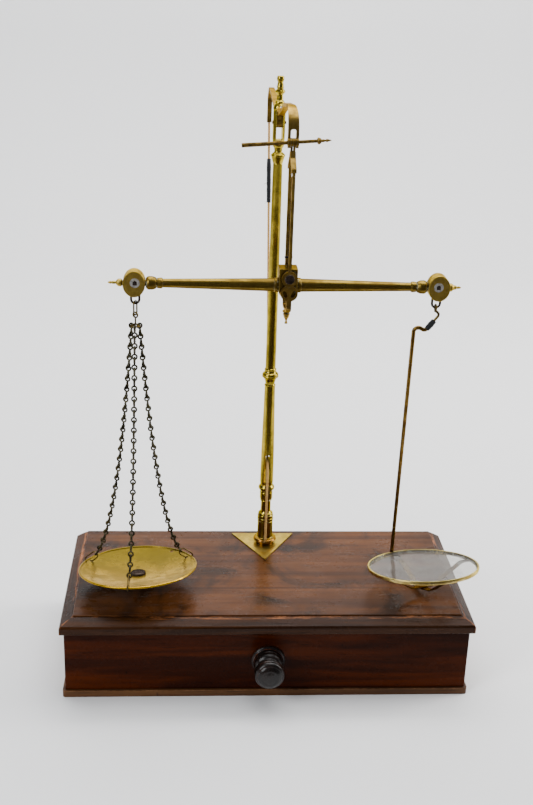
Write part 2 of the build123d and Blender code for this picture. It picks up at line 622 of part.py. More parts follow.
def pan_hooks():
    """Wire rings that join each chain to a hole near the pan's rim."""
    hooks = []
    for azimuth in CHAIN_AZIMUTHS:
        head = chain_ends(azimuth)[1] - Vector(0, 0, 0.3)
        foot = pan_point(azimuth, *HOOK_FOOT)
        up = (head - foot).normalized()
        # the ring's plane holds the pan's radius, so it passes the hole and clears the rim
        outward = (pan_point(azimuth, 1.0, 0) - pan_point(azimuth, 0, 0)).normalized()
        half_length = (head - foot).length / 2
        link = stadium_link(HOOK_HALF_WIDTH, half_length, PAN_HOOK_WIRE)
        hooks.append(Plane(origin=foot + up * half_length, x_dir=outward, z_dir=up).location * link)
    return Compound(hooks)


def brass_pan():
    """Shallow dished pan with a rolled rim and four small holes."""
    sphere = (PAN_RADIUS ** 2 + PAN_DEPTH ** 2) / (2 * PAN_DEPTH)
    dish = turned((PAN_RADIUS, 0), (PAN_RADIUS, PAN_DEPTH)) & Pos(0, 0, sphere) * Sphere(sphere)
    hollow = Pos(0, 0, sphere + PAN_WALL) * Sphere(sphere)
    rim = Pos(0, 0, PAN_DEPTH) * Torus(PAN_RADIUS, 1.1)
    pan = Pos(0, 0, -PAN_DEPTH) * (dish - hollow + rim)
    for azimuth in (*CHAIN_AZIMUTHS, SPARE_HOLE_AZIMUTH):
        pan -= Rotation(0, 0, azimuth) * Pos(HOLE_REACH, 0, 0) * Cylinder(HOLE_RADIUS, 30)
    return LEFT_PAN * pan


def pan_disc():
    """Dark turned disc riveted in the middle of the pan."""
    sphere = (PAN_RADIUS ** 2 + PAN_DEPTH ** 2) / (2 * PAN_DEPTH)
    disc = turned((7.8, -0.6), (7.8, 1.6), (6.8, 2.6, 0.2), (2.0, 3.0), (1.6, 3.6, 0.2))
    seat = Pos(0, 0, -PAN_DEPTH + PAN_WALL)
    return LEFT_PAN * (seat * disc - Pos(0, 0, sphere - PAN_DEPTH) * shell_below(sphere))


def shell_below(sphere):
    """Everything outside the pan's inner face."""
    return Box(60, 60, 4 * sphere) - Pos(0, 0, PAN_WALL) * Sphere(sphere)


# ---------------------------------------------------------------- glass plate on its bent rod
HOOK_EYE_RADIUS = 3.0
HOOK_WIRE = 1.3
ROD_RADIUS = 2.0
SPLICE = (151.9, 388.8)      # x and z where wire and rod meet in the binding
RIM_AZIMUTH = 112.0
BRACKET_DROP = 23.5
BINDING_RADIUS = 2.9
BINDING_ENDS = ((155.54, BEAM_Y, 393.57), (148.86, BEAM_Y, 384.81))
STRIP_THICKNESS = 1.2


def plate_point(azimuth, radius, height):
    """A place on the glass plate, in the object's frame."""
    local = Pos(radius * cos(radians(azimuth)), radius * sin(radians(azimuth)), height)
    return (GLASS_PAN * local).position


def hanger_hook():
    """Brass wire with an eye through the right shackle, lashed to the rod below."""
    eye_z = RING_Z + SHACKLE_WIRE + HOOK_WIRE * 0.8 + 0.3 - HOOK_EYE_RADIUS
    eye = Pos(HANG_X[1], BEAM_Y, eye_z) * ALONG_X * Torus(HOOK_EYE_RADIUS, HOOK_WIRE * 0.8)
    route = [(HANG_X[1] - 0.4, BEAM_Y, eye_z - HOOK_EYE_RADIUS + 0.2), (160.8, BEAM_Y, 400.47),
             (SPLICE[0], BEAM_Y, SPLICE[1])]
    return eye + wire(route, [3.0], HOOK_WIRE)


def hanger_rod():
    """Long bent rod: out from the splice, over, and down to the back of the plate."""
    under = -RIM_HEIGHT + 1.4 - STRIP_THICKNESS - ROD_RADIUS
    route = [(SPLICE[0], BEAM_Y, SPLICE[1]), (147.4, BEAM_Y, 382.9), (136.2, BEAM_Y, 389.6),
             plate_point(RIM_AZIMUTH, RIM_RADIUS + 5.8, under),
             plate_point(RIM_AZIMUTH, RIM_RADIUS - 7.0, under)]
    return wire(route, [3.6, 4.6, 3.2], ROD_RADIUS) - bracket_strip(RIM_AZIMUTH, BRACKET_DROP)


def rod_binding():
    """Thread wound over the splice of hook and rod."""
    sleeve = cylinder_between(*BINDING_ENDS, BINDING_RADIUS)
    return sleeve - hanger_rod() - hanger_hook()


def plate_rim():
    section = turned((RIM_RADIUS, -RIM_HEIGHT + 1.4), (RIM_RADIUS, 1.4, 0.3))
    ledge = Pos(0, 0, -GLASS_THICKNESS + 1.0) * Cylinder(GLASS_RADIUS - 1.4, 20)
    upper = Pos(0, 0, 1.0 - GLASS_THICKNESS) * Cylinder(GLASS_RADIUS, 20,
                                                       align=(Align.CENTER, Align.CENTER, Align.MIN))
    return GLASS_PAN * (section - ledge - upper)


def glass_plate():
    disc = Pos(0, 0, 1.0 - GLASS_THICKNESS / 2) * Cylinder(GLASS_RADIUS, GLASS_THICKNESS)
    return GLASS_PAN * disc


def bracket_strip(azimuth, drop):
    """Bent strip right across under the plate, lowest in the middle."""
    end = RIM_RADIUS - 1.6
    top = -RIM_HEIGHT + 1.4 - 0.6
    points = [(0, -end, top), (0, -end + 9, top), (0, -14, -drop), (0, 14, -drop), (0, end - 9, top),
              (0, end, top)]
    bar = strap(points, [12, 16, 16, 12], 6.0, STRIP_THICKNESS)
    return GLASS_PAN * (Rotation(0, 0, azimuth - 90) * bar)


def bracket_rivet():
    rivet = turned((2.6, -BRACKET_DROP - 1.9), (3.2, -BRACKET_DROP - 0.6, 0.3))
    return GLASS_PAN * rivet


# ---------------------------------------------------------------- cord
CORD_LOW_EXIT = (PILLAR_X, 79.6, BASE_HEIGHT + 117.5)
WHIPPING_REACH = (38.0, 84.0)   # down the cord from the lever's tail
WHIPPING_RADIUS = 2.3


def cord_top():
    """Where the cord is tied to the lever's tail."""
    return (HEAD * Pos(0, TAIL_REACH, TAIL_TIP_HEIGHT - 0.4)).position


def cord_rear():
    """Taut run from the lever's tail to the slot in the pillar."""
    return cylinder_between(tuple(cord_top()), CORD_LOW_EXIT, CORD_RADIUS)


def front_route():
    """Through the slot, on in the taut run's line, then down the pillar's front to the foot."""
    low_exit = Vector(*CORD_LOW_EXIT)
    return [CORD_LOW_EXIT, tuple(low_exit + (low_exit - cord_top()).normalized() * 9.0),
            (PILLAR_X, 60.3, BASE_HEIGHT + 102.4), (PILLAR_X, 58.7, BASE_HEIGHT + 70.0),
            (PILLAR_X, 59.3, BASE_HEIGHT + 9.4)]


def cord_front():
    route = front_route()
    return wire(route, corner_radii(route), CORD_RADIUS)


def corner_radii(route):
    """0.45 of the shorter run over the tangent of half the turn, for every corner."""
    radii = []
    for before, corner, after in zip(route, route[1:], route[2:]):
        coming, going = Vector(*corner) - Vector(*before), Vector(*after) - Vector(*corner)
        half_turn = radians(coming.get_angle(going)) / 2
        radii.append(0.45 * min(coming.length, going.length) / tan(half_turn))
    return radii


def cord_whipping():
    """Black thread wound round the top of the cord below the lever's tail."""
    top, low = cord_top(), Vector(*CORD_LOW_EXIT)
    down = (low - top).normalized()
    start, end = (tuple(top + down * reach) for reach in WHIPPING_REACH)
    sleeve = cylinder_between(start, end, WHIPPING_RADIUS)
    return sleeve - cylinder_between(tuple(top), tuple(low), CORD_RADIUS)


# ---------------------------------------------------------------- all nodes
def all_nodes():
    nodes = {
        "top_board": top_board(),
        "moulding_front": moulding_front(),
        "moulding_left": moulding_side(-1),
        "moulding_right": moulding_side(1),
        "bottom_board": bottom_board(),
        "case_sides": both(case_side),
        "back_panel": back_panel(),
        "drawer_front": drawer_front(),
        "drawer_sides": both(drawer_side),
        "drawer_back": drawer_back(),
        "drawer_bottom": drawer_bottom(),
        "drawer_knob": drawer_knob(),
        "pillar_plate": pillar_plate(),
        "pillar_stud": pillar_stud(),
        "pillar_washer": pillar_washer(),
        "pillar_nut": pillar_nut(),
        "pillar_foot": pillar_foot(),
        "pillar_lower": pillar_lower(),
        "pillar_knop": pillar_knop(),
        "pillar_upper": pillar_upper(),
        "pillar_head": pillar_head(),
        "pillar_finial": pillar_finial(),
        "lever_pivot_pin": lever_pivot_pin(),
        "cord_front": cord_front(),
        "lift_lever": lift_lever(),
        "suspension_pin": suspension_pin(),
        "shears_front": shears_strap(-1),
        "shears_rear": shears_strap(1),
        "shears_bearings": both(shears_bearing),
        "drop_finial": drop_finial(),
        "beam_boss": beam_boss(),
        "knife_centre": knife_centre(),
        "pointer": pointer(),
        "end_knives": both(knife_end),
        "end_finials": both(end_finial),
        "end_bushes": end_bushes(),
        "long_link": long_link(),
        "gathering_hook": gathering_hook(),
        "pan_hooks": pan_hooks(),
        "brass_pan": brass_pan(),
        "pan_disc": pan_disc(),
        "hanger_hook": hanger_hook(),
        "hanger_rod": hanger_rod(),
        "rod_binding": rod_binding(),
        "plate_rim": plate_rim(),
        "glass_plate": glass_plate(),
        "bracket_lower": bracket_strip(RIM_AZIMUTH, BRACKET_DROP),
        "bracket_upper": bracket_strip(RIM_AZIMUTH + 90, BRACKET_DROP - STRIP_THICKNESS),
        "bracket_rivet": bracket_rivet(),
        "cord_rear": cord_rear(),
        "cord_whipping": cord_whipping(),
    }
    for side, name in ((-1, "left"), (1, "right")):
        nodes[f"beam_arm_{name}"] = beam_arm(side)
        nodes[f"box_end_{name}"] = box_end(side)
        nodes[f"shackle_{name}"] = shackle(side)
    for azimuth, name in zip(CHAIN_AZIMUTHS, CHAIN_NAMES):
        nodes[name] = chain(azimuth)
    return nodes


if __name__ == "__main__":
    os.makedirs("parts", exist_ok=True)
    for name, shape in all_nodes().items():
        export_step(shape, f"parts/{name}.step")
    print("cord_front bend radii, mm:", [round(radius, 1) for radius in corner_radii(front_route())])
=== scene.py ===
import json
import math

import bpy
import numpy as np
from mathutils import Matrix, Vector


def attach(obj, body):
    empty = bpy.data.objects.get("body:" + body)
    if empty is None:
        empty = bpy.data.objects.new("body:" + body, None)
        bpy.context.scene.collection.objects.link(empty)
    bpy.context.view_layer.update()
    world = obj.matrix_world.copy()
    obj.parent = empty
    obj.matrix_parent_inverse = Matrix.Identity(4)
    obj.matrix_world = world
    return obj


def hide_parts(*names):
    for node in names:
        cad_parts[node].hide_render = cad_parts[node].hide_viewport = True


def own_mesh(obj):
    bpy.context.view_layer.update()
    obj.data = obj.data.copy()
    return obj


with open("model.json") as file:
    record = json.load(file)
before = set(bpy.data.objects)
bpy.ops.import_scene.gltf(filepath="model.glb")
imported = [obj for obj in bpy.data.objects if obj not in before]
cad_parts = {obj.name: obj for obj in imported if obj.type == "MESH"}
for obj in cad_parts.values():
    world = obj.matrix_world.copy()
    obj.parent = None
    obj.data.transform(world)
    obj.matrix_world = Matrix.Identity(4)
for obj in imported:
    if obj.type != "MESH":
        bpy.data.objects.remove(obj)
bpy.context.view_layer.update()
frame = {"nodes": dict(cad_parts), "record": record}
nodes = frame["nodes"]
MM = 0.001

# Places on the object where its looks change, in metres.
END_GRAIN_X = 0.2002            # past this the end faces' grain runs front to back
END_GRAIN_Y = -0.0798           # but not in front of this
FIELD_DARKENS_X = (0.150, 0.204)
FIELD_DARKENS_Y = (-0.050, -0.088)
WORN_LINE_HEIGHT = 0.0913       # rubbed line along the mouldings
FOOT_BROWNS_Z = (0.1035, 0.1005)
STEEL_BROWNS_Z = (0.500, 0.505)
# Painted shade on the pan, from its front to its back.
PAN_SHADED_Y = (-0.040, 0.022)

DRIED_POLISH = (0.50, 0.52, 0.38)
# Near-black dirt with painted shade, for the wood's corners.
WOOD_DIRT_AND_SHADE = (0.008, 0.005, 0.004)


# ---------------------------------------------------------------- materials
def shade(color, factor):
    """The colour made darker or lighter."""
    return tuple(min(1.0, part * factor) for part in color)


def grazing(color, base, gain):
    """A pale tint of the colour, for a metal's reflections at a low angle."""
    return tuple(min(1.0, base + part * gain) for part in color)


class Shader:
    """A material's node tree. Positions are in metres, in the object's own frame."""

    SOCKETS = {"color": "Base Color", "rough": "Roughness", "normal": "Normal", "metallic": "Metallic",
               "ior": "IOR", "specular": "Specular IOR Level", "tint": "Specular Tint",
               "sheen": "Sheen Weight", "through": "Transmission Weight"}

    def __init__(self, name):
        self.material = bpy.data.materials.new(name)
        self.material.use_nodes = True
        self.tree = self.material.node_tree
        self.tree.nodes.clear()
        self.out = self.add("ShaderNodeOutputMaterial")
        self.bsdf = self.add("ShaderNodeBsdfPrincipled")
        self.link(self.bsdf.outputs[0], self.out.inputs["Surface"])
        self.place = self.add("ShaderNodeTexCoord").outputs["Object"]

    def add(self, kind):
        return self.tree.nodes.new(kind)

    def link(self, source, target):
        self.tree.links.new(source, target)

    def feed(self, socket, value):
        """Link a socket to another node's output, or set its constant."""
        if isinstance(value, bpy.types.NodeSocket):
            self.link(value, socket)
        elif socket.type == "RGBA":
            socket.default_value = (*value, 1)
        else:
            socket.default_value = value

    def stretched(self, scale, turn=(0, 0, 0)):
        """Positions scaled along each axis, so that a noise read there is drawn out."""
        mapping = self.add("ShaderNodeMapping")
        self.link(self.place, mapping.inputs["Vector"])
        mapping.inputs["Scale"].default_value = scale
        mapping.inputs["Rotation"].default_value = turn
        return mapping.outputs[0]

    def noise(self, scale, detail, rough=0.55, where=None, distortion=0.0):
        node = self.add("ShaderNodeTexNoise")
        self.link(where or self.place, node.inputs["Vector"])
        node.inputs["Scale"].default_value = scale
        node.inputs["Detail"].default_value = detail
        node.inputs["Roughness"].default_value = rough
        node.inputs["Distortion"].default_value = distortion
        return node.outputs["Fac"]

    def ramp(self, value, low, high, start=0.0, end=1.0):
        """A smooth step from start to end as the value goes from low to high."""
        node = self.add("ShaderNodeMapRange")
        node.interpolation_type = "SMOOTHSTEP"
        self.link(value, node.inputs["Value"])
        node.inputs["From Min"].default_value = low
        node.inputs["From Max"].default_value = high
        node.inputs["To Min"].default_value = start
        node.inputs["To Max"].default_value = end
        return node.outputs[0]

    def math(self, kind, a, b=0.0):
        node = self.add("ShaderNodeMath")
        node.operation = kind
        self.feed(node.inputs[0], a)
        self.feed(node.inputs[1], b)
        return node.outputs[0]

    def plus(self, a, b):
        return self.math("ADD", a, b)

    def times(self, a, b):
        return self.math("MULTIPLY", a, b)

    def mix(self, share, a, b):
        node = self.add("ShaderNodeMix")
        node.data_type = "RGBA"
        self.feed(node.inputs[0], share)
        self.feed(node.inputs[6], a)
        self.feed(node.inputs[7], b)
        return node.outputs[2]

    def lay(self, color, over, mask, strength):
        """The colour, with another laid over it where the mask is 1."""
        return self.mix(self.times(mask, strength), color, over)

    def axis(self, name):
        node = self.add("ShaderNodeSeparateXYZ")
        self.link(self.place, node.inputs[0])
        return node.outputs[name]

    def edge(self, radius, low=0.02, high=0.25):
        """1 on sharp edges, from how far a rounded normal leans from the true one."""
        bevel = self.add("ShaderNodeBevel")
        bevel.samples = 4
        bevel.inputs["Radius"].default_value = radius
        dot = self.add("ShaderNodeVectorMath")
        dot.operation = "DOT_PRODUCT"
        self.link(bevel.outputs[0], dot.inputs[0])
        self.link(self.add("ShaderNodeNewGeometry").outputs["Normal"], dot.inputs[1])
        return self.ramp(self.math("SUBTRACT", 1.0, dot.outputs["Value"]), low, high)

    def crevice(self, distance, low=0.35, high=0.9):
        """1 deep in corners, 0 in the open."""
        node = self.add("ShaderNodeAmbientOcclusion")
        node.samples = 4
        node.inputs["Distance"].default_value = distance
        return self.ramp(node.outputs["AO"], low, high, 1.0, 0.0)

    def bump(self, height, distance, strength):
        node = self.add("ShaderNodeBump")
        self.feed(node.inputs["Height"], height)
        node.inputs["Distance"].default_value = distance
        node.inputs["Strength"].default_value = strength
        return node.outputs[0]

    def set(self, **values):
        for key, value in values.items():
            self.feed(self.bsdf.inputs[self.SOCKETS[key]], value)
        return self.material


def brass(name, bright, tarnish, rough, spots, patch, residue=0.5, streaks=0.0, foot=None):
    """Old brass: patches of tarnish, dark specks, dark dirt with painted shade and pale polish in the
    corners, edges rubbed bright.

    streaks is how strongly tarnish runs down it, and foot the colour of its low end.
    """
    s = Shader(name)
    cloud = s.ramp(s.noise(patch, 6, 0.6), 0.38, 0.66)
    color = s.mix(cloud, bright, tarnish)
    if streaks:
        upright = s.ramp(s.noise(1.0, 4, 0.6, s.stretched((190, 190, 7))), 0.40, 0.62)
        color = s.lay(color, shade(tarnish, 0.45), upright, streaks)
    if foot is not None:
        color = s.lay(color, foot, s.ramp(s.axis("Z"), *FOOT_BROWNS_Z), 0.9)
    speck = s.ramp(s.noise(patch * 14, 3, 0.6), 0.60, 0.78)
    color = s.lay(color, shade(tarnish, 0.35), speck, spots)
    # Painted shade, with dirt, darkens it deep in corners.
    color = s.lay(color, shade(tarnish, 0.14), s.crevice(0.004), 0.85)
    crumbs = s.ramp(s.noise(260, 4, 0.65), 0.50, 0.60)
    crust = s.times(s.times(s.crevice(0.0022, 0.55, 0.95), residue), crumbs)
    color = s.mix(crust, color, DRIED_POLISH)
    color = s.lay(color, shade(bright, 1.5), s.edge(0.0006), 0.5)
    scratches = s.noise(1.0, 3, 0.7, s.stretched((150, 2400, 2400), (0.5, 0.3, 0.8)))
    roughness = s.plus(s.ramp(cloud, 0, 1, rough * 0.8, rough * 1.35), s.times(scratches, 0.16))
    height = s.plus(s.times(scratches, 0.3), s.times(s.noise(2600, 2, 0.5), 0.25))
    return s.set(color=color, metallic=s.math("SUBTRACT", 1.0, crust), rough=roughness,
                 tint=grazing(bright, 0.25, 1.6), normal=s.bump(height, 0.00006, 0.7))


def pan_material():
    """Hammered pan: yellow-gold, with painted shade that turns it olive towards the back and darkens its
    corners, cloudy tarnish and fine specks.
    """
    s = Shader("pan_brass")
    cloud = s.ramp(s.noise(30, 6, 0.62), 0.40, 0.60)
    color = s.mix(cloud, (0.45, 0.265, 0.012), (0.235, 0.140, 0.008))
    # Painted shade: a darker reflection, olive towards the back.
    back = s.ramp(s.plus(s.axis("Y"), s.times(s.noise(40, 4), 0.03)), *PAN_SHADED_Y)
    color = s.lay(color, (0.120, 0.088, 0.007), back, 0.85)
    color = s.lay(color, (0.10, 0.065, 0.008), s.ramp(s.noise(95, 5, 0.7), 0.52, 0.64), 0.35)
    color = s.lay(color, (0.10, 0.07, 0.015), s.ramp(s.noise(420, 3, 0.6), 0.62, 0.74), 0.6)
    # Painted shade deep in corners and where other parts come close.
    color = s.lay(color, (0.08, 0.055, 0.015), s.crevice(0.004), 0.7)
    color = s.lay(color, (0.80, 0.60, 0.22), s.edge(0.0006), 0.5)
    height = s.plus(s.noise(120, 2, 0.4), s.times(s.noise(1800, 3, 0.6), 0.12))
    return s.set(color=color, metallic=1.0, rough=s.ramp(cloud, 0, 1, 0.24, 0.38), tint=(1.0, 0.90, 0.66),
                 normal=s.bump(height, 0.0004, 0.5))


def steel(name, base, rust, high=None):
    """Patchy steel. high is the brown of what lies above the beam."""
    s = Shader(name)
    cloud = s.ramp(s.noise(220, 5, 0.65), 0.4, 0.65)
    color = s.mix(cloud, base, rust)
    if high is not None:
        color = s.mix(s.ramp(s.axis("Z"), *STEEL_BROWNS_Z), color, s.mix(cloud, high, shade(high, 0.4)))
    color = s.lay(color, (0.24, 0.21, 0.18), s.edge(0.0005), 0.5)
    return s.set(color=color, metallic=0.9, rough=s.ramp(cloud, 0, 1, 0.38, 0.65),
                 tint=grazing(base, 0.2, 1.3), normal=s.bump(s.noise(1500, 3), 0.00008, 0.7))


def wood(name, light, dark, gloss, stain=None, grain=(4, 90, 90), wear=None, specular=0.4,
         worn_line=None, turned_ends=False):
    """Old polished wood: long grain, pores, stains and edges worn through the polish.

    grain is how fine it is along each axis, worn_line the height of a rubbed line, and turned_ends
    runs the grain of the case's end faces front to back.
    """
    s = Shader(name)
    where = s.stretched(grain)
    if turned_ends:
        along_x, along_y, along_z = grain
        end = s.math("GREATER_THAN", s.math("ABSOLUTE", s.axis("X")), END_GRAIN_X)
        behind = s.math("GREATER_THAN", s.axis("Y"), END_GRAIN_Y)
        where = s.mix(s.times(end, behind), where, s.stretched((along_y, along_x, along_z)))
    pores = s.ramp(s.noise(7.0, 2, 0.6, where), 0.60, 0.72)
    bands = s.ramp(s.noise(1.0, 5, 0.55, where, 0.6), 0.36, 0.64)
    color = s.lay(s.mix(bands, dark, light), shade(dark, 0.35), pores, 0.55)
    if stain is not None:
        color = s.lay(color, stain, s.ramp(s.noise(0.22, 6, 0.6, where, 0.4), 0.46, 0.68), 0.45)
        color = s.lay(color, shade(stain, 0.4), s.ramp(s.noise(230, 3, 0.6), 0.64, 0.74), 0.6)
    if wear is not None:
        broken = s.ramp(s.noise(70, 6, 0.7), 0.42, 0.62)
        color = s.lay(color, wear, s.times(s.edge(0.0016, 0.01, 0.2), broken), 0.85)
    if worn_line is not None:
        near = s.ramp(s.math("ABSOLUTE", s.math("SUBTRACT", s.axis("Z"), worn_line)), 0.0011, 0.0002)
        broken = s.ramp(s.noise(1.0, 7, 0.75, s.stretched((11, 11, 300))), 0.49, 0.60)
        color = s.lay(color, wear, s.times(near, broken), 0.8)
    # Painted shade, with dirt, deep in corners and recesses.
    color = s.lay(color, WOOD_DIRT_AND_SHADE, s.crevice(0.006), 0.7)
    height = s.plus(s.times(pores, -0.6), s.times(s.noise(420, 3), 0.35))
    return s.set(color=color, rough=s.ramp(s.noise(26, 5, 0.65), 0.3, 0.7, gloss * 0.75, gloss * 1.5),
                 specular=specular, normal=s.bump(height, 0.00018, 0.8))


def field_material():
    """The top board: faded red-brown, with dark stains, darker towards its front and ends."""
    s = Shader("field_wood")
    where = s.stretched((3.2, 70, 70))
    bands = s.ramp(s.noise(1.0, 5, 0.55, where, 0.7), 0.34, 0.66)
    pores = s.ramp(s.noise(8.0, 2, 0.6, where), 0.60, 0.72)
    color = s.mix(bands, (0.040, 0.0130, 0.0032), (0.108, 0.0365, 0.0085))
    color = s.lay(color, (0.011, 0.0050, 0.0020), s.ramp(s.noise(14, 6, 0.66, None, 0.9), 0.45, 0.64), 0.85)
    color = s.lay(color, (0.012, 0.005, 0.003), pores, 0.45)
    color = s.lay(color, (0.006, 0.003, 0.002), s.ramp(s.noise(190, 4, 0.62), 0.62, 0.74), 0.75)
    ends = s.ramp(s.math("ABSOLUTE", s.axis("X")), *FIELD_DARKENS_X)
    front = s.ramp(s.axis("Y"), *FIELD_DARKENS_Y)
    color = s.lay(color, (0.016, 0.006, 0.003), s.math("MAXIMUM", ends, front), 0.45)
    height = s.plus(s.times(pores, -0.5), s.times(s.noise(300, 4), 0.5))
    return s.set(color=color, rough=s.ramp(s.noise(30, 6, 0.68), 0.3, 0.7, 0.20, 0.42), specular=0.10,
                 normal=s.bump(height, 0.0002, 0.7))


def fibre(name, light, dark, scale, sheen):
    """Dull spun fibre, paler on its raised hairs."""
    s = Shader(name)
    fuzz = s.noise(scale, 4, 0.7)
    return s.set(color=s.mix(s.ramp(fuzz, 0.35, 0.65), dark, light), rough=0.85, sheen=sheen,
                 normal=s.bump(fuzz, 0.0002, 0.9))


def glass_material():
    """Clear thin glass under a faint wiped haze."""
    s = Shader("glass")
    s.set(color=(0.86, 0.88, 0.86), rough=0.02, ior=1.28, through=1.0)
    clear = s.add("ShaderNodeBsdfTransparent")
    s.feed(clear.inputs["Color"], (0.90, 0.90, 0.88))
    haze = s.add("ShaderNodeBsdfDiffuse")
    s.feed(haze.inputs["Color"], (0.30, 0.29, 0.27))
    wiped = s.ramp(s.noise(1.0, 5, 0.65, s.stretched((30, 90, 30), (0, 0, 0.7))), 0.3, 0.7, 0.04, 0.16)
    see_through = 0.84
    surface = s.bsdf.outputs[0]
    for share, layer in ((see_through, clear), (wiped, haze)):
        joined = s.add("ShaderNodeMixShader")
        s.feed(joined.inputs[0], share)
        s.link(surface, joined.inputs[1])
        s.link(layer.outputs[0], joined.inputs[2])
        surface = joined.outputs[0]
    s.link(surface, s.out.inputs["Surface"])
    return s.material


looks = {
    "field_wood": field_material(),
    "moulding_wood": wood("moulding_wood", (0.046, 0.0150, 0.0036), (0.018, 0.0058, 0.0015), 0.26,
                          stain=(0.007, 0.003, 0.002), wear=(0.34, 0.115, 0.035), specular=0.10,
                          worn_line=WORN_LINE_HEIGHT, turned_ends=True),
    "plinth_wood": wood("plinth_wood", (0.150, 0.062, 0.018), (0.070, 0.027, 0.008), 0.42,
                        stain=(0.015, 0.006, 0.003), wear=(0.34, 0.16, 0.07), specular=0.2,
                        turned_ends=True),
    "drawer_wood": wood("drawer_wood", (0.060, 0.0100, 0.0004), (0.020, 0.0032, 0.0002), 0.24,
                        stain=(0.003, 0.001, 0.0005), grain=(5, 60, 60), specular=0.05),
    "inner_wood": wood("inner_wood", (0.42, 0.25, 0.12), (0.30, 0.17, 0.08), 0.6),
    "knob_wood": wood("knob_wood", (0.008, 0.004, 0.003), (0.003, 0.002, 0.0015), 0.26,
                      wear=(0.24, 0.050, 0.009), grain=(60, 60, 12), specular=0.26),
    "pillar_brass": brass("pillar_brass", (0.50, 0.37, 0.045), (0.25, 0.18, 0.020), 0.12, 0.35, 45,
                          residue=0.6, streaks=0.6, foot=(0.24, 0.10, 0.025)),
    "plate_brass": brass("plate_brass", (0.50, 0.36, 0.085), (0.30, 0.21, 0.05), 0.26, 0.5, 70),
    "lever_brass": brass("lever_brass", (0.36, 0.23, 0.050), (0.16, 0.10, 0.022), 0.27, 0.4, 80),
    "beam_brass": brass("beam_brass", (0.21, 0.14, 0.026), (0.125, 0.078, 0.015), 0.25, 0.35, 50,
                        residue=0.8),
    "end_brass": brass("end_brass", (0.48, 0.34, 0.070), (0.26, 0.175, 0.036), 0.34, 0.4, 90, residue=0.4),
    "wire_brass": brass("wire_brass", (0.105, 0.072, 0.024), (0.045, 0.030, 0.012), 0.28, 0.4, 150,
                        residue=0.3),
    "chain_brass": brass("chain_brass", (0.082, 0.071, 0.042), (0.020, 0.018, 0.013), 0.30, 0.5, 160,
                         residue=0.15),
    "pan_brass": pan_material(),
    "rod_brass": brass("rod_brass", (0.17, 0.10, 0.022), (0.07, 0.036, 0.009), 0.20, 0.5, 60, residue=0.1),
    "rim_brass": brass("rim_brass", (0.56, 0.43, 0.16), (0.30, 0.21, 0.06), 0.22, 0.3, 90),
    "bush_steel": steel("bush_steel", (0.62, 0.61, 0.58), (0.30, 0.27, 0.23)),
    "dark_steel": steel("dark_steel", (0.065, 0.050, 0.042), (0.022, 0.014, 0.010), (0.20, 0.125, 0.032)),
    "cord": fibre("cord", (0.72, 0.42, 0.11), (0.36, 0.18, 0.04), 900, 0.25),
    "thread": fibre("thread", (0.013, 0.014, 0.017), (0.004, 0.004, 0.005), 1600, 0.0),
    "glass": glass_material(),
}
SHARP_ANGLE = math.radians(30)


def dress_nodes():
    """Each CAD node's material, and smooth shading between its sharp edges."""
    for row in frame["record"]["subparts"]:
        node = nodes[row["node"]]
        node.data.materials.clear()
        node.data.materials.append(looks[row["material_slot"]])
        for face in node.data.polygons:
            face.use_smooth = True
        sharp = node.modifiers.new("by_angle", "EDGE_SPLIT")
        sharp.split_angle = SHARP_ANGLE
        even = node.modifiers.new("even_normals", "WEIGHTED_NORMAL")
        even.keep_sharp = True


# ---------------------------------------------------------------- pieces of wire, cord and thread
def route(points, resolution):
    """Points along the smooth spline that a route's points control, in metres."""
    data = bpy.data.curves.new("route", "CURVE")
    data.dimensions = "3D"
    data.resolution_u = resolution
    spline = data.splines.new("NURBS")
    spline.points.add(len(points) - 1)
    for point, at in zip(spline.points, points):
        point.co = (*at, 1)
    spline.order_u = 3
    spline.use_endpoint_u = True
    holder = bpy.data.objects.new("route", data)
    mesh = bpy.data.meshes.new_from_object(holder)
    path = np.array([v.co for v in mesh.vertices], float)
    bpy.data.objects.remove(holder)
    bpy.data.curves.remove(data)
    bpy.data.meshes.remove(mesh)
    return path


def reached(path):
    """How far along the path each of its points is."""
    return np.concatenate([[0], np.cumsum(np.linalg.norm(np.diff(path, axis=0), axis=1))])


def square_to(path, closed=False):
    """Two directions square to the path at each point, turning as little as they can."""
    if closed:
        tangents = np.roll(path, -1, axis=0) - np.roll(path, 1, axis=0)
    else:
        tangents = np.gradient(path, axis=0)
    tangents /= np.linalg.norm(tangents, axis=1)[:, None]
    no_wires_way = (0.31, 0.87, 0.38)
    side = np.cross(tangents[0], no_wires_way)
    sides = []
    for tangent in tangents:
        side = side - tangent * (side @ tangent)
        side = side / np.linalg.norm(side)
        sides.append(side)
    sides = np.array(sides)
    return sides, np.cross(tangents, sides)


def tube(path, radii, corners, closed=False):
    """Vertices and faces of a round tube along a path."""
    radii = np.broadcast_to(radii, len(path))
    side, up = square_to(path, closed)
    turns = np.linspace(0, 2 * math.pi, corners, endpoint=False)
    ring = np.cos(turns)[None, :, None] * side[:, None] + np.sin(turns)[None, :, None] * up[:, None]
    points = (path[:, None] + ring * radii[:, None, None]).reshape(-1, 3)
    rows = len(path) if closed else len(path) - 1
    faces = []
    for i in range(rows):
        here, there = i * corners, (i + 1) % len(path) * corners
        for j in range(corners):
            k = (j + 1) % corners
            faces.append((here + j, here + k, there + k, there + j))
    if not closed:
        faces.append(tuple(range(corners))[::-1])
        faces.append(tuple(range((len(path) - 1) * corners, len(path) * corners)))
    return points, faces


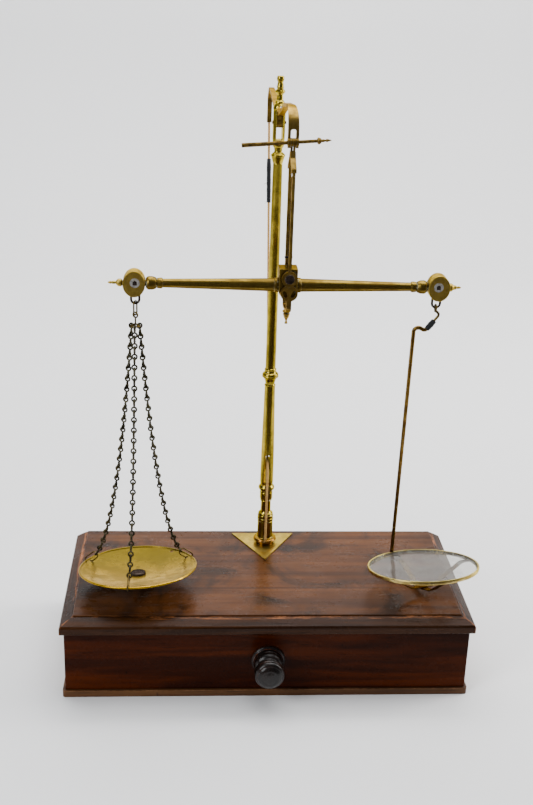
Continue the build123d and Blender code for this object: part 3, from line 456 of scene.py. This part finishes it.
def piece(name, parts, look, body, *stands_for):
    """One mesh piece from several vertex and face lists."""
    points, faces, start = [], [], 0
    for more, more_faces in parts:
        points.append(more)
        faces += [tuple(start + i for i in face) for face in more_faces]
        start += len(more)
    mesh = bpy.data.meshes.new(name)
    mesh.from_pydata([tuple(p) for p in np.concatenate(points)], [], faces)
    mesh.materials.append(looks[look])
    for face in mesh.polygons:
        face.use_smooth = True
    made = bpy.data.objects.new(name, mesh)
    bpy.context.scene.collection.objects.link(made)
    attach(made, body)
    if stands_for:
        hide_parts(*stands_for)
    return made


STRANDS = 3
LAY = 0.007                     # length of a strand's whole turn
STRAND_SWELL = 1.03             # strands press into each other


def strands(path, radius):
    """Twisted strands that fill a round section of the radius."""
    along = reached(path)
    side, up = square_to(path)
    half_chord = math.sin(math.pi / STRANDS)
    thick = radius * half_chord / (1 + half_chord)
    parts = []
    for k in range(STRANDS):
        turn = along / LAY * 2 * math.pi + k * 2 * math.pi / STRANDS
        centre = path + (radius - thick) * (np.cos(turn)[:, None] * side + np.sin(turn)[:, None] * up)
        parts.append(tube(centre, thick * STRAND_SWELL, 7))
    return parts


def winding(start, end, radius, thread, seed, lump):
    """Thread wound close round a straight core, in mm. lump is how much fatter it gets in places."""
    rng = np.random.default_rng(seed)
    start, end = np.array(start, float), np.array(end, float)
    straight = np.stack([start, end])
    turns = np.linalg.norm(end - start) / (2 * thread * 1.02)
    share = np.linspace(0, 1, int(turns * 14))
    side, up = square_to(straight)
    uneven = np.interp(share, np.linspace(0, 1, 12), rng.uniform(0, 1, 12))
    reach = radius + lump * uneven * np.sin(share * math.pi)
    turn = share * turns * 2 * math.pi
    centre = start + share[:, None] * (end - start)
    centre = centre + reach[:, None] * (np.cos(turn)[:, None] * side[0] + np.sin(turn)[:, None] * up[0])
    core = tube(straight * MM, (radius + lump * 0.4) * MM, 16)
    return [tube(centre * MM, thread * MM, 6), core]


def loose_ends(anchor, count, length, thread, seed, lean, spread):
    """Short fibre ends that stand off a point, in mm. They lean one way, each a little off it."""
    rng = np.random.default_rng(seed)
    share = np.linspace(0, 1, 7)[:, None]
    taper = np.linspace(1, 0.45, 7)
    parts = []
    for _ in range(count):
        way = np.array(lean, float) + rng.normal(0, spread, 3)
        way /= np.linalg.norm(way)
        curl = rng.normal(0, 0.35, 3)
        reach = length * rng.uniform(0.5, 1.0)
        line = np.array(anchor, float) + share * way * reach + share ** 2 * curl * reach * 0.6
        parts.append(tube(line * MM, taper * thread * MM, 5))
    return parts


# ---------------------------------------------------------------- lift cord
CORD_RADIUS = 0.00135
REAR_ROUTE = [(-0.001302, 0.14985, 0.5556), (0.0036, 0.0796, 0.2105)]
FRONT_ROUTE = [(0.0036, 0.0796, 0.2105), (0.003725, 0.077805, 0.201681), (0.0036, 0.0603, 0.1954),
               (0.0036, 0.0587, 0.1630), (0.0036, 0.0593, 0.1024)]
REAR_RESOLUTION = 600
FRONT_RESOLUTION = 130
WHIPPING_REACH = (38, 84)       # down the cord from the lever's tail, in mm
WHIPPING_RADIUS = 1.95
FRAY_LIFT = 0.6                 # of the frayed end above the cord's, in mm


def down_cord(distance):
    """A place in mm, a distance in mm down the taut run from the lever's tail."""
    top, low = (np.array(at) / MM for at in REAR_ROUTE)
    return top + (low - top) / np.linalg.norm(low - top) * distance


def lift_cord():
    """The taut run behind the pillar, its black whipping, and the run down the pillar's front."""
    rear_line = route(REAR_ROUTE, REAR_RESOLUTION)
    front_line = route(FRONT_ROUTE, FRONT_RESOLUTION)
    rear = piece("cord_behind", strands(rear_line, CORD_RADIUS), "cord", "base", "cord_rear")
    front = piece("cord_in_front", strands(front_line, CORD_RADIUS), "cord", "base", "cord_front")
    frayed = np.array(FRONT_ROUTE[-1]) / MM + (0, 0, FRAY_LIFT)
    piece("cord_tuft", loose_ends(frayed, 16, 3.6, 0.22, 5, (0, -0.5, -1), 0.35), "cord", "base")
    start, end = WHIPPING_REACH
    thread = winding(down_cord(start), down_cord(end), WHIPPING_RADIUS, 0.30, 3, 0.5)
    thread += loose_ends(down_cord(62), 5, 5.0, 0.2, 9, (-1, 0, -0.3), 0.5)
    thread += loose_ends(down_cord(end - 1), 4, 4.0, 0.2, 11, (-1, 0, -0.6), 0.5)
    whipping = piece("cord_whipping_thread", thread, "thread", "base", "cord_whipping")
    for part in (rear, whipping):
        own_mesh(part)


BINDING_ENDS = ((155.54, -31.0, 393.57), (148.86, -31.0, 384.81))
BINDING_RADIUS = 2.3


def rod_thread():
    """Thread bound round the join of the right-hand rod and its wire hook."""
    piece("rod_thread", winding(*BINDING_ENDS, BINDING_RADIUS, 0.42, 21, 0.6), "thread", "right_pan",
          "rod_binding")


# ---------------------------------------------------------------- chains, in mm
CHAINS = {"chain_left": 155.0, "chain_right": 25.0, "chain_front": 263.0}
LINKS = 24
LINK_LOOP = 2.35
LINK_WIRE = 0.92
LINK_CLEAR = 2.95               # centre distance of two loops that hang in each other
LOOP_POINTS = 22
WAIST_POINTS = 9
WAIST_RADIUS = 0.6
WAIST_BITE = 0.3                # how far the waist's wires run into each loop
HANGS_AT = (-136.2, -31.0)
GATHER_HEIGHT = 384.6
GATHER_RADIUS = 4.3
SEATED = 0.65                   # a loop's centre below the wire that it hangs on
CHAIN_END_RADIUS = 49.0
CHAIN_END_HEIGHT = 9.0          # above the pan's rim
SLACK = (0.41, 0.41, 0.84)      # the curve's middle control point, as shares of the way down
PAN_PLACE = (Matrix.Translation((*HANGS_AT, 119.0)) @ Matrix.Rotation(math.radians(-9.0), 4, "X")
             @ Matrix.Rotation(math.radians(-2.4), 4, "Y"))


def link_parts(reach):
    """One figure-of-eight link: two closed loops square to each other and a twisted waist."""
    turns = np.linspace(0, 2 * math.pi, LOOP_POINTS, endpoint=False)
    level = np.zeros(LOOP_POINTS)
    first = np.stack([LINK_LOOP * np.sin(turns), level, LINK_LOOP * np.cos(turns)], axis=1)
    second = np.stack([level, LINK_LOOP * np.sin(turns), reach + LINK_LOOP * np.cos(turns)], axis=1)
    parts = [tube(first, LINK_WIRE, 8, True), tube(second, LINK_WIRE, 8, True)]
    share = np.linspace(0, 1, WAIST_POINTS)
    height = LINK_LOOP - WAIST_BITE + share * (reach - 2 * (LINK_LOOP - WAIST_BITE))
    for half in (0, math.pi):
        turn = share * 1.5 * math.pi + half
        strand = np.stack([WAIST_RADIUS * np.cos(turn), WAIST_RADIUS * np.sin(turn), height], axis=1)
        parts.append(tube(strand, LINK_WIRE * 0.78, 7))
    return parts


def chain(name, azimuth):
    """A chain on the slack curve that its CAD links follow: steep above, flaring out over the pan."""
    outward = np.array([math.cos(math.radians(azimuth)), math.sin(math.radians(azimuth)), 0])
    top = np.array((*HANGS_AT, GATHER_HEIGHT - SEATED)) + outward * GATHER_RADIUS
    bottom = np.array(PAN_PLACE @ Vector((*(outward[:2] * CHAIN_END_RADIUS), CHAIN_END_HEIGHT)))
    bend = top + (bottom - top) * SLACK
    share = np.linspace(0, 1, 400)[:, None]
    line = (1 - share) ** 2 * top + 2 * share * (1 - share) * bend + share ** 2 * bottom
    along = reached(line)
    pitch = (along[-1] + LINK_CLEAR) / LINKS
    reach = pitch - LINK_CLEAR
    model = link_parts(reach)
    parts = []
    for number in range(LINKS):
        start, end = (np.array([np.interp(distance, along, line[:, i]) for i in range(3)])
                      for distance in (number * pitch, number * pitch + reach))
        run = (end - start) / np.linalg.norm(end - start)
        side = outward - run * (outward @ run)
        side /= np.linalg.norm(side)
        turn = np.stack([side, np.cross(run, side), run])
        parts += [((points @ turn + start) * MM, faces) for points, faces in model]
    piece(f"{name}_links", parts, "chain_brass", "left_pan", name)


# ---------------------------------------------------------------- stage, lights, camera, in metres
STAGE_HALF_WIDTH = 14.0
STAGE_FRONT = -14.0
SWEEP_START = 1.6               # where the floor begins to curve up into the wall
SWEEP_RADIUS = 0.5
WALL_TOP = 8.0
CARD_HALF_WIDTH = 1.3
CARD_FRONT, CARD_BACK = -1.9, -0.34
CARD_HEIGHT = 0.003
CAMERA_PLACE = (-0.08144, -1.099, 0.727)
CAMERA_YAW = math.radians(4.01)
CAMERA_PITCH = math.radians(21.48)
CAMERA_ROLL = math.radians(-1.96)
FOCAL_LENGTH = 51.43            # mm, on a sensor 36 mm wide


def stage_piece(name, corners, faces, material):
    """A piece of the studio, not of the scale."""
    mesh = bpy.data.meshes.new(name)
    mesh.from_pydata(corners, [], faces)
    mesh.materials.append(material)
    for face in mesh.polygons:
        face.use_smooth = True
    made = bpy.data.objects.new(name, mesh)
    bpy.context.scene.collection.objects.link(made)
    return made


def stage_floor():
    """Pale floor that curves up into a pale wall well behind the scale."""
    sweep = [math.radians(angle) for angle in range(10, 91, 10)]
    rows = [(STAGE_FRONT, 0.0), (SWEEP_START, 0.0)]
    rows += [(SWEEP_START + SWEEP_RADIUS * math.sin(a), SWEEP_RADIUS * (1 - math.cos(a))) for a in sweep]
    rows += [(SWEEP_START + SWEEP_RADIUS, WALL_TOP)]
    corners = [(x, y, z) for y, z in rows for x in (-STAGE_HALF_WIDTH, STAGE_HALF_WIDTH)]
    faces = [(2 * i, 2 * i + 1, 2 * i + 3, 2 * i + 2) for i in range(len(rows) - 1)]
    s = Shader("floor_pale")
    color = s.mix(s.noise(1.5, 3), (0.78, 0.78, 0.785), (0.82, 0.82, 0.825))
    stage_piece("floor", corners, faces, s.set(color=color, rough=0.75))


def dark_card():
    """The dark table in front that the brass reflects. Only reflections see it."""
    corners = [(-CARD_HALF_WIDTH, CARD_FRONT, CARD_HEIGHT), (CARD_HALF_WIDTH, CARD_FRONT, CARD_HEIGHT),
               (CARD_HALF_WIDTH, CARD_BACK, CARD_HEIGHT), (-CARD_HALF_WIDTH, CARD_BACK, CARD_HEIGHT)]
    surface = Shader("dark_card").set(color=(0.035, 0.018, 0.010), rough=0.6)
    card = stage_piece("dark_card", corners, [(0, 1, 2, 3)], surface)
    card.visible_camera = False
    card.visible_diffuse = False
    card.visible_shadow = False
    card.visible_transmission = False


def sky():
    """Faint cool light from all round."""
    world = bpy.data.worlds.new("studio")
    bpy.context.scene.world = world
    world.use_nodes = True
    background = world.node_tree.nodes["Background"]
    background.inputs["Color"].default_value = (0.86, 0.90, 1.0, 1)
    background.inputs["Strength"].default_value = 0.16


def area_light(name, place, target, size, power, color=(1, 1, 1)):
    """A soft rectangular light that faces its target."""
    data = bpy.data.lights.new(name, "AREA")
    data.shape = "RECTANGLE"
    data.size, data.size_y = size
    data.energy = power
    data.color = color
    lamp = bpy.data.objects.new(name, data)
    lamp.location = place
    lamp.rotation_euler = (Vector(target) - Vector(place)).to_track_quat("-Z", "Y").to_euler()
    bpy.context.scene.collection.objects.link(lamp)


def make_camera():
    """Stands in front of the scale's left pan, above the beam, looking down."""
    level, drop = math.cos(CAMERA_PITCH), -math.sin(CAMERA_PITCH)
    forward = Vector((math.sin(CAMERA_YAW) * level, math.cos(CAMERA_YAW) * level, drop))
    right = Vector((math.cos(CAMERA_YAW), -math.sin(CAMERA_YAW), 0))
    up = right.cross(forward)
    across = right * math.cos(CAMERA_ROLL) - up * math.sin(CAMERA_ROLL)
    upward = right * math.sin(CAMERA_ROLL) + up * math.cos(CAMERA_ROLL)
    data = bpy.data.cameras.new("camera")
    data.lens, data.sensor_width = FOCAL_LENGTH, 36.0
    camera = bpy.data.objects.new("camera", data)
    turn = Matrix((across, upward, -forward)).transposed().to_4x4()
    camera.matrix_world = Matrix.Translation(CAMERA_PLACE) @ turn
    bpy.context.scene.collection.objects.link(camera)
    bpy.context.scene.camera = camera


make_camera()
dress_nodes()
lift_cord()
rod_thread()
for chain_name, chain_azimuth in CHAINS.items():
    chain(chain_name, chain_azimuth)
stage_floor()
dark_card()
sky()
area_light("window", (-1.9, -1.5, 1.5), (0, 0, 0.3), (0.9, 1.7), 56, (0.95, 0.98, 1.0))
area_light("overhead", (0.2, 0.5, 2.6), (0, 0.2, 0.0), (2.6, 2.0), 82)
area_light("side", (2.0, 0.4, 1.2), (0, 0, 0.3), (1.0, 1.8), 60, (1.0, 0.98, 0.95))
area_light("wall_wash", (0.0, 0.9, 2.4), (0.0, 2.1, 0.9), (3.0, 0.6), 46)
